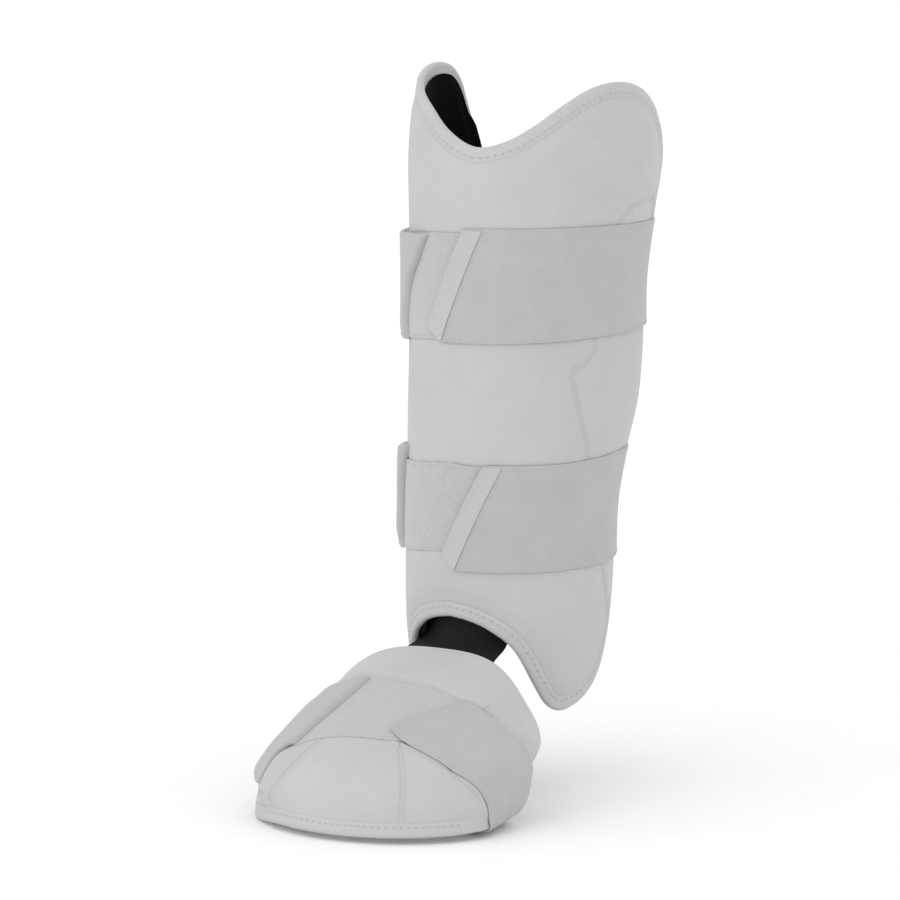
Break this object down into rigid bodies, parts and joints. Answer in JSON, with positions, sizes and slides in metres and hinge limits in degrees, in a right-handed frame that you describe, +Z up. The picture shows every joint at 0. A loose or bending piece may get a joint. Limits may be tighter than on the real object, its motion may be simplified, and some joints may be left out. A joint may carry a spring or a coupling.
{
  "type": "batter's leg guard",
  "caption": "Padded shin shell with a knee notch and an instep arch, mesh lining and wide hook-and-loop straps, joined by an elastic band to an arched foot guard with its own strap.",
  "frame": {"origin": "on the lining at the front of the shin, half way up the shin shell, where the leg rests", "axes": "+Z up the leg towards the knee, -Y forwards towards the toes, +X to the right as seen from the front"},
  "size_m": [0.1547, 0.2874, 0.398],
  "materials": {
    "leather": "fine-grained matt synthetic leather",
    "lining_mesh": "matt knitted mesh",
    "loop_pile": "brushed loop pile",
    "strap_webbing": "matt twill webbing",
    "label_tape": "smooth woven tape",
    "elastic": "ribbed woven elastic"
  },
  "bodies": {
    "root": {"shin_shell": "leather", "shin_lining": "lining_mesh", "upper_landing": "loop_pile", "upper_strap": "strap_webbing", "upper_label": "label_tape", "lower_landing": "loop_pile", "lower_strap": "strap_webbing", "lower_label": "label_tape", "ankle_connector": "elastic", "foot_shell": "leather", "foot_landing": "loop_pile", "foot_strap": "strap_webbing"}
  },
  "joints": []
}
